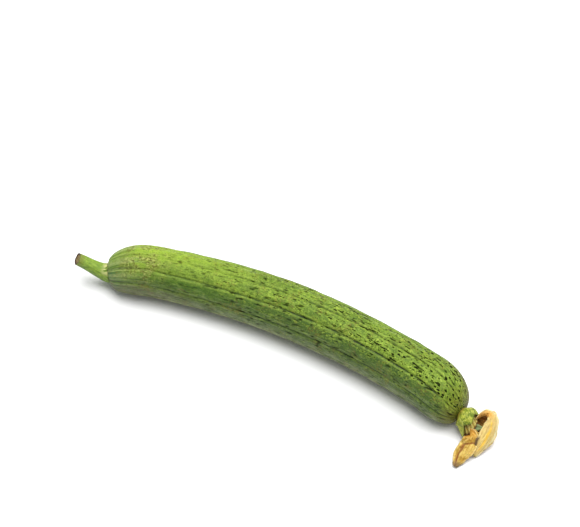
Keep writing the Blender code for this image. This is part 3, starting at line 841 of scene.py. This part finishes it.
def skin_material():
    p = Painter("Gourd skin", 0.5, 0.24)
    length, over, side = p.value("length"), p.value("over"), p.value("side")
    even = straightened(p, BODY_LENGTH, 1.0)
    near_even = straightened(p, BODY_LENGTH, 1.5)
    drawn = straightened(p, BODY_LENGTH, 2.6)
    long_drawn = straightened(p, BODY_LENGTH, 9.0)
    # Broad colour: patches, darker mottle and a few long streaks.
    patches = p.span(p.grain(drawn, 0.10, 4.0, 0.6), 0.42, 0.58)
    colour = p.mix(patches, paint(72, 102, 22), paint(112, 140, 38))
    streaks = p.span(p.grain(long_drawn, 0.55, 3.0, 0.6), 0.44, 0.58)
    colour = p.mix(p.calc("MULTIPLY", streaks, 0.38), colour, paint(130, 156, 50))
    mottle = p.span(p.grain(near_even, 0.50, 5.0, 0.78), 0.46, 0.54)
    mottled = p.calc("MULTIPLY", mottle, p.span(length, 0.10, 0.50, 0.45, 0.75))
    colour = p.mix(mottled, colour, paint(46, 72, 8))
    # Painted light and shade: a painted highlight along the crest near the stem, painted shade dulling the
    # flank and lower side, and a grey painted reflection of the floor lowest down.
    # Painted highlight on the top of the fruit near the stem.
    near_stem = p.span(length, 0.60, 0.03)
    crest_highlight = p.calc("MULTIPLY", near_stem, p.span(over, 0.30, 0.90))
    crest_highlight = p.calc("MULTIPLY", crest_highlight, p.span(side, -0.60, 0.35, 0.35, 1.0))
    colour = p.mix(p.calc("MULTIPLY", crest_highlight, 0.76), colour, paint(158, 188, 52))
    # Painted shade: the flank below the strongest groove darker green.
    flank = p.calc("MULTIPLY", p.value("flank"), p.span(length, 0.10, 0.45, 0.50, 1.0))
    colour = p.mix(p.calc("MULTIPLY", flank, 0.66), colour, paint(66, 92, 36))
    # Painted light: the upper side lighter from the middle towards the blossom end.
    lit_upper_side = p.calc("MULTIPLY", p.calc("SUBTRACT", 1.0, flank), p.span(length, 0.30, 0.55))
    colour = p.mix(p.calc("MULTIPLY", lit_upper_side, 0.20), colour, paint(130, 160, 44))
    # Darker green below the middle line on the stem half: partly the skin's own darker zone, partly painted
    # shade.
    darker_green_and_shade = p.calc("MULTIPLY", p.span(over, 0.80, 0.62), p.span(over, 0.15, 0.45))
    darker_green_and_shade = p.calc("MULTIPLY", darker_green_and_shade, p.span(length, 0.06, 0.12))
    darker_green_and_shade = p.calc("MULTIPLY", darker_green_and_shade, p.span(length, 0.50, 0.25))
    colour = p.mix(p.calc("MULTIPLY", darker_green_and_shade, 0.50), colour, paint(58, 96, 14))
    # Grey-green on the lower side: partly the skin's own tone, partly painted shade.
    low = p.span(over, 0.45, -0.45)
    colour = p.mix(p.calc("MULTIPLY", low, 0.80), colour, paint(68, 82, 48))
    # Painted reflection of the white floor: pale grey-green patches lowest down.
    clouds = p.span(p.grain(drawn, 0.26, 5.0, 0.7), 0.44, 0.56)
    floor_reflection = p.calc("MULTIPLY", p.span(over, 0.25, -0.55), clouds)
    colour = p.mix(p.calc("MULTIPLY", floor_reflection, 0.82), colour, paint(156, 164, 124))
    scraped = p.grain(long_drawn, 1.0, 4.0, 0.72)
    sides = p.span(over, 0.72, 0.40)
    pale_scrapes = p.calc("MULTIPLY", sides, p.span(scraped, 0.52, 0.60, 0.0, 0.42))
    colour = p.mix(pale_scrapes, colour, paint(136, 148, 104))
    dark_scrapes = p.calc("MULTIPLY", sides, p.span(scraped, 0.48, 0.40, 0.0, 0.50))
    colour = p.mix(dark_scrapes, colour, paint(48, 64, 30))
    # The stem shoulder: blue-green, with pale and dark rays and a brownish dusk below.
    collar = p.calc("MULTIPLY", p.span(length, 0.085, 0.01), p.span(over, 0.96, 0.70, 0.45, 1.0))
    colour = p.mix(p.calc("MULTIPLY", collar, 0.72), colour, paint(66, 106, 58))
    spokes = straightened(p, BODY_LENGTH, 36.0)
    spoke_grain = p.grain(spokes, 0.55, 3.0, 0.6)
    rayed = p.span(length, 0.13, 0.02)
    pale_rays = p.calc("MULTIPLY", rayed, p.span(spoke_grain, 0.48, 0.58, 0.0, 0.70))
    colour = p.mix(pale_rays, colour, paint(154, 168, 104))
    dark_rays = p.calc("MULTIPLY", rayed, p.span(spoke_grain, 0.47, 0.39, 0.0, 0.65))
    colour = p.mix(dark_rays, colour, paint(40, 66, 34))
    dusk = p.calc("MULTIPLY", p.span(length, 0.36, 0.03), p.span(over, 0.52, -0.10))
    dusk = p.calc("MULTIPLY", dusk, p.span(p.grain(long_drawn, 0.8, 4.0, 0.70), 0.40, 0.54))
    colour = p.mix(p.calc("MULTIPLY", dusk, 0.75), colour, paint(96, 88, 68))
    # The blossom end: olive, and tanned on its far side.
    tip = p.span(length, 0.955, 1.0)
    colour = p.mix(p.calc("MULTIPLY", tip, 0.65), colour, paint(116, 106, 22))
    tanned = p.calc("MULTIPLY", p.span(length, 0.86, 0.95), p.span(side, 0.25, 0.75))
    tan_share = p.span(p.grain(near_even, 0.40, 4.0, 0.7), 0.38, 0.58, 0.20, 0.70)
    colour = p.mix(p.calc("MULTIPLY", tanned, tan_share), colour, paint(90, 72, 26))
    # Where the skin is most marked.
    upper = p.span(over, 0.45, 0.88, 0.30, 1.0)
    ahead = p.span(length, 0.05, 0.70, 0.30, 1.0)
    marked = p.calc("MULTIPLY", upper, ahead)
    clusters = p.span(p.grain(drawn, 0.20, 2.0), 0.40, 0.60)
    marked = p.calc("MULTIPLY", marked, p.calc("MULTIPLY_ADD", clusters, 0.65, 0.35))
    # Pale scuffs, brown flecks, and one corky patch above the stem shoulder.
    scuff = p.span(p.grain(near_even, 0.60, 6.0, 0.80), 0.525, 0.575)
    scuffed = p.calc("MULTIPLY", scuff, p.calc("MULTIPLY_ADD", marked, 0.88, 0.10))
    colour = p.mix(scuffed, colour, paint(156, 178, 66))
    rusty = p.span(p.grain(even, 0.10, 2.0), 0.50, 0.62)
    rust = p.calc("MULTIPLY", rusty, p.span(p.grain(near_even, 0.8, 5.0, 0.75), 0.50, 0.57))
    colour = p.mix(p.calc("MULTIPLY", rust, 0.50), colour, paint(116, 92, 36))
    cork = p.calc("MULTIPLY", p.span(length, 0.20, 0.11), p.span(length, 0.02, 0.07))
    cork = p.calc("MULTIPLY", cork, p.span(over, 0.25, 0.70))
    cork = p.calc("MULTIPLY", cork, p.span(p.grain(even, 0.14, 3.0), 0.42, 0.54))
    speckle = p.grain(near_even, 0.8, 5.0, 0.78)
    pale_cork = p.calc("MULTIPLY", cork, p.span(speckle, 0.50, 0.60, 0.0, 0.75))
    colour = p.mix(pale_cork, colour, paint(172, 174, 96))
    dark_cork = p.calc("MULTIPLY", cork, p.span(speckle, 0.51, 0.42, 0.0, 0.95))
    colour = p.mix(dark_cork, colour, paint(90, 78, 30))
    # The grooves: a dark line between two paler lips.
    lip = p.calc("MULTIPLY", p.value("lip"), p.span(over, 0.20, 0.85, 0.14, 0.40))
    colour = p.mix(lip, colour, paint(146, 168, 66))
    breaks = p.span(p.grain(long_drawn, 1.3, 3.0, 0.6), 0.38, 0.52, 0.62, 1.0)
    line = p.calc("MULTIPLY", p.value("line"), breaks)
    colour = p.mix(p.calc("MINIMUM", p.calc("MULTIPLY", line, 1.15), 0.96), colour, paint(16, 34, 6))
    # Dashes of dark green with a pale edge: long ones, short ones and dots, biggest near the blossom.
    dashes, halos = 0.0, 0.0
    crowded = p.calc("MULTIPLY", p.span(length, 0.66, 0.84), p.span(over, 0.35, 0.80))
    for stretch, scale, where, cut, chance_above in (
        (6.0, 0.50, marked, 0.27, 0.30),
        (4.2, 0.42, marked, 0.25, 0.50),
        (2.8, 0.70, marked, 0.28, 0.25),
        (1.6, 1.00, marked, 0.26, 0.40),
        (1.7, 0.40, crowded, 0.31, 0.35),
    ):
        gap, chance = p.cells(straightened(p, BODY_LENGTH, stretch, p.value("full")), scale)
        kept = p.calc("GREATER_THAN", chance, chance_above)
        reach = p.calc("MULTIPLY_ADD", where, cut, 0.02)
        dash = p.calc("MULTIPLY", p.span(gap, reach, p.calc("MULTIPLY", reach, 0.80)), kept)
        halo = p.calc("MULTIPLY", p.span(gap, p.calc("MULTIPLY", reach, 2.2), reach), kept)
        dashes = p.calc("MAXIMUM", dashes, dash)
        halos = p.calc("MAXIMUM", halos, halo)
    colour = p.mix(p.calc("MULTIPLY", halos, 0.30), colour, paint(148, 174, 50))
    slit = p.calc("MULTIPLY", p.value("slit"), 0.9)
    dashes = p.calc("MAXIMUM", dashes, slit)
    colour = p.mix(p.calc("MULTIPLY", dashes, 0.96), colour, paint(12, 20, 4))
    pores = p.span(p.grain(even, 1.2, 2.0), 0.55, 0.64)
    colour = p.mix(p.calc("MULTIPLY", pores, 0.55), colour, paint(40, 62, 10))
    fine = p.grain(near_even, 1.2, 4.0, 0.65)
    height = p.calc("MULTIPLY_ADD", dashes, -0.8, fine)
    height = p.calc("MULTIPLY_ADD", line, -0.5, height)
    p.put(p.shader.inputs["Specular IOR Level"], p.calc("MULTIPLY_ADD", dashes, -0.20, 0.24))
    shine = p.calc("MULTIPLY_ADD", p.grain(near_even, 0.6, 2.0), 0.20, 0.42)
    return p.finish(colour, height, 0.00045, 1.0, shine)


def stem_material():
    p = Painter("Stem skin", 0.5, 0.32)
    length, over = p.value("length"), p.value("over")
    place = p.vector(
        p.calc("MULTIPLY", length, 3.0),
        p.calc("MULTIPLY", over, 5.0),
        p.calc("MULTIPLY", p.value("side"), 5.0),
    )
    strings = p.span(p.grain(place, 2.2, 4.0, 0.65), 0.40, 0.60)
    colour = p.mix(strings, paint(84, 118, 22), paint(138, 166, 54))
    furrows = p.span(p.grain(place, 3.6, 2.0), 0.52, 0.62)
    colour = p.mix(p.calc("MULTIPLY", furrows, 0.6), colour, paint(66, 92, 18))
    # Painted highlight: a cream patch on the top of the stem near its base.
    wear_and_highlight = p.calc("MULTIPLY", p.span(length, 0.42, 0.20), p.span(p.grain(place, 1.1, 3.0), 0.40, 0.50))
    wear_and_highlight = p.calc("MULTIPLY", wear_and_highlight, p.span(over, 0.30, 0.85))
    colour = p.mix(p.calc("MULTIPLY", wear_and_highlight, 0.80), colour, paint(208, 204, 140))
    lit = p.calc("MULTIPLY", p.span(over, 0.10, 0.90), p.span(length, 0.25, 0.50))
    colour = p.mix(p.calc("MULTIPLY", lit, 0.16), colour, paint(162, 186, 74))
    shaded = p.span(over, 0.10, -0.75)
    colour = p.mix(p.calc("MULTIPLY", shaded, 0.55), colour, paint(74, 98, 24))
    joint = p.span(length, 0.05, 0.0)
    colour = p.mix(p.calc("MULTIPLY", joint, 0.8), colour, paint(74, 92, 24))
    ageing = p.span(length, 0.82, 0.97)
    colour = p.mix(p.calc("MULTIPLY", ageing, 0.5), colour, paint(112, 108, 38))
    rim = p.value("rim")
    pith = p.mix(p.span(p.grain(place, 6.0, 2.0), 0.4, 0.6), paint(146, 128, 56), paint(104, 80, 38))
    skin_edge = p.span(rim, 0.55, 0.80)
    cut = p.mix(skin_edge, pith, paint(66, 38, 22))
    colour = p.mix(p.calc("LESS_THAN", rim, 0.985), colour, cut)
    height = p.grain(place, 4.0, 3.0, 0.6)
    return p.finish(colour, height, 0.0004, 0.8)


def calyx_material():
    p = Painter("Calyx skin", 0.55, 0.3)
    place = p.vector(
        p.calc("MULTIPLY", p.value("length"), 3.0),
        p.calc("MULTIPLY", p.value("over"), 3.0),
        p.calc("MULTIPLY", p.value("side"), 3.0),
    )
    patches = p.span(p.grain(place, 1.6, 4.0, 0.65), 0.40, 0.60)
    colour = p.mix(patches, paint(96, 116, 20), paint(176, 182, 64))
    ribs = p.span(p.value("rib"), 0.45, 1.0)
    colour = p.mix(p.calc("MULTIPLY", ribs, 0.40), colour, paint(190, 192, 84))
    spots = p.span(p.grain(place, 6.5, 2.0), 0.57, 0.66)
    colour = p.mix(p.calc("MULTIPLY", spots, 0.60), colour, paint(66, 82, 16))
    scars = p.span(p.grain(place, 3.2, 3.0, 0.7), 0.60, 0.66)
    colour = p.mix(p.calc("MULTIPLY", scars, 0.65), colour, paint(206, 208, 128))
    neck = p.span(p.value("length"), 0.30, 0.02)
    colour = p.mix(p.calc("MULTIPLY", neck, 0.65), colour, paint(132, 104, 26))
    # Painted shade: the lobes' edges and the whole inside of the cup darkened.
    rim = p.value("rim")
    colour = p.mix(p.calc("MULTIPLY", rim, 0.75), colour, paint(48, 62, 16))
    height = p.grain(place, 4.0, 4.0, 0.6)
    return p.finish(colour, height, 0.0006, 0.9)


def petal_material():
    p = Painter("Withered petal", 0.6, 0.25)
    length, across, which = p.value("length"), p.value("across"), p.value("which")
    mark = p.value("mark")
    place = p.vector(p.calc("MULTIPLY", length, 3.0), p.calc("MULTIPLY", across, 1.2), which)
    patches = p.span(p.grain(place, 2.2, 4.0, 0.6), 0.38, 0.62)
    colour = p.mix(patches, paint(168, 132, 44), paint(214, 186, 98))
    right = p.calc("COMPARE", which, 0.0, 0.4)
    colour = p.mix(p.calc("MULTIPLY", right, 0.70), colour, paint(222, 198, 128))
    root = p.span(length, 0.46, 0.05)
    colour = p.mix(p.calc("MULTIPLY", root, 0.60), colour, paint(204, 132, 30))
    veins = p.span(p.value("vein"), 0.55, 1.0)
    veined = p.calc("MULTIPLY", veins, p.calc("MULTIPLY_ADD", right, -0.20, 0.40))
    colour = p.mix(veined, colour, paint(190, 126, 40))
    edge = p.span(p.calc("ABSOLUTE", across), 0.72, 1.0)
    colour = p.mix(p.calc("MULTIPLY", edge, 0.50), colour, paint(232, 212, 150))
    rim = p.calc("MULTIPLY", right, p.span(across, -0.50, -0.75))
    rim = p.calc("MULTIPLY", rim, p.span(length, 0.08, 0.26))
    colour = p.mix(p.calc("MULTIPLY", rim, 0.85), colour, paint(228, 214, 164))
    # Painted highlight along the raised creases.
    ridge = p.span(mark, 0.45, 0.95)
    colour = p.mix(p.calc("MULTIPLY", ridge, 0.80), colour, paint(236, 190, 64))
    # Brown-orange furrows: partly the withered petal's own brown creases, partly painted shade under the
    # ridges.
    furrow = p.span(mark, -0.45, -0.92)
    colour = p.mix(p.calc("MULTIPLY", furrow, 0.85), colour, paint(124, 66, 22))
    creases = p.span(p.grain(place, 3.4, 4.0, 0.75), 0.57, 0.66)
    creased = p.calc("MULTIPLY", creases, p.calc("MULTIPLY_ADD", right, -0.25, 0.55))
    colour = p.mix(creased, colour, paint(150, 88, 32))
    glow = p.calc("MULTIPLY", right, p.span(length, 0.62, 0.30))
    glow = p.calc("MULTIPLY", glow, p.span(across, -0.35, 0.30))
    colour = p.mix(p.calc("MULTIPLY", glow, 0.60), colour, paint(230, 168, 66))
    tip = p.calc("MULTIPLY", p.span(length, 0.86, 0.97), p.calc("SUBTRACT", 1.0, right))
    colour = p.mix(p.calc("MULTIPLY", tip, 0.8), colour, paint(124, 98, 70))
    # A dark brown spot on the right petal's edge towards its tip, where the petals meet.
    dark_edge_spot = p.calc("MULTIPLY", right, p.span(across, 0.55, 0.85))
    dark_edge_spot = p.calc("MULTIPLY", dark_edge_spot, p.span(length, 0.83, 0.88))
    dark_edge_spot = p.calc("MULTIPLY", dark_edge_spot, p.span(length, 0.98, 0.94))
    colour = p.mix(p.calc("MULTIPLY", dark_edge_spot, 0.9), colour, paint(72, 44, 28))
    pleated = p.calc("LESS_THAN", which, -0.5)
    striped = p.mix(p.span(p.value("vein"), -0.9, 0.5), paint(160, 134, 52), paint(202, 188, 104))
    # Painted shade: the top of the pleated tube dark brown.
    striped = p.mix(p.span(length, 0.09, 0.12), striped, paint(90, 52, 26))
    colour = p.mix(pleated, colour, striped)
    # Painted shade: the inside of the tube dark brown.
    inside = p.value("inside")
    colour = p.mix(p.calc("MULTIPLY", inside, 0.85), colour, paint(70, 44, 26))
    # Painted shade: the root of the petal behind the hole darkened to brown-orange.
    behind = p.calc("COMPARE", which, 3.0, 0.4)
    hole_shade = p.calc("MULTIPLY", behind, p.span(length, 0.48, 0.30))
    colour = p.mix(p.calc("MULTIPLY", hole_shade, 0.75), colour, paint(146, 88, 34))
    height = p.calc("MULTIPLY_ADD", veins, 0.6, p.grain(place, 7.0, 3.0, 0.6))
    p.shader.inputs["Subsurface Weight"].default_value = 0.20
    p.shader.inputs["Subsurface Radius"].default_value = (0.0018, 0.0010, 0.0004)
    p.shader.inputs["Subsurface Scale"].default_value = 0.5
    return p.finish(colour, height, 0.0004, 0.9)


def style_material():
    p = Painter("Stigma", 0.6, 0.35)
    place = p.vector(p.calc("MULTIPLY", p.value("length"), 9.0), 0.0, 0.0)
    colour = p.mix(p.grain(place, 2.0, 3.0), paint(88, 106, 62), paint(136, 148, 98))
    return p.finish(colour, p.grain(place, 8.0, 2.0), 0.0002, 0.6)


def floor_material():
    p = Painter("White floor", 0.7, 0.2)
    return p.finish(paint(247, 247, 248))


make_fruit(skin_material())
make_stem(stem_material())
make_calyx(calyx_material())
make_corolla(petal_material())
make_style(style_material())

# The floor, the light and the camera

FLOOR_SIZE = 6.0
ROOM_LIGHT = 0.36

bpy.ops.mesh.primitive_plane_add(size=FLOOR_SIZE, location=(0, 0, 0))
floor = bpy.context.object
floor.name = "floor"
floor.data.materials.append(floor_material())

world = bpy.data.worlds.new("studio")
world.use_nodes = True
world.node_tree.nodes["Background"].inputs["Color"].default_value = (1.0, 1.0, 1.0, 1.0)
world.node_tree.nodes["Background"].inputs["Strength"].default_value = ROOM_LIGHT
bpy.context.scene.world = world

CAMERA_AZIMUTH = math.radians(27.5)
CAMERA_ELEVATION = math.radians(50)
CAMERA_DISTANCE = 1.102
AIM = Vector((-0.0363, 0.0537, 0)) + Vector((SHIFT.x, SHIFT.y, 0))


def direction(azimuth, elevation):
    return Vector(
        (
            math.sin(azimuth) * math.cos(elevation),
            -math.cos(azimuth) * math.cos(elevation),
            math.sin(elevation),
        )
    )


def add_light(name, azimuth, elevation, distance, size, power):
    light = bpy.data.lights.new(name, "AREA")
    light.shape = "SQUARE"
    light.size = size
    light.energy = power
    lamp = bpy.data.objects.new(name, light)
    way = direction(math.radians(azimuth), math.radians(elevation))
    lamp.location = way * distance
    lamp.rotation_mode = "QUATERNION"
    lamp.rotation_quaternion = way.to_track_quat("Z", "Y")
    bpy.context.scene.collection.objects.link(lamp)


add_light("key", azimuth=160, elevation=80, distance=1.6, size=1.7, power=47.0)

camera = bpy.data.objects.new("camera", bpy.data.cameras.new("camera"))
camera.data.lens = 90
camera.data.sensor_width = 36
back = direction(CAMERA_AZIMUTH, CAMERA_ELEVATION)
camera.location = AIM + back * CAMERA_DISTANCE
camera.rotation_mode = "QUATERNION"
camera.rotation_quaternion = back.to_track_quat("Z", "Y")
bpy.context.scene.collection.objects.link(camera)
bpy.context.scene.camera = camera
bpy.context.scene.view_settings.view_transform = "Standard"
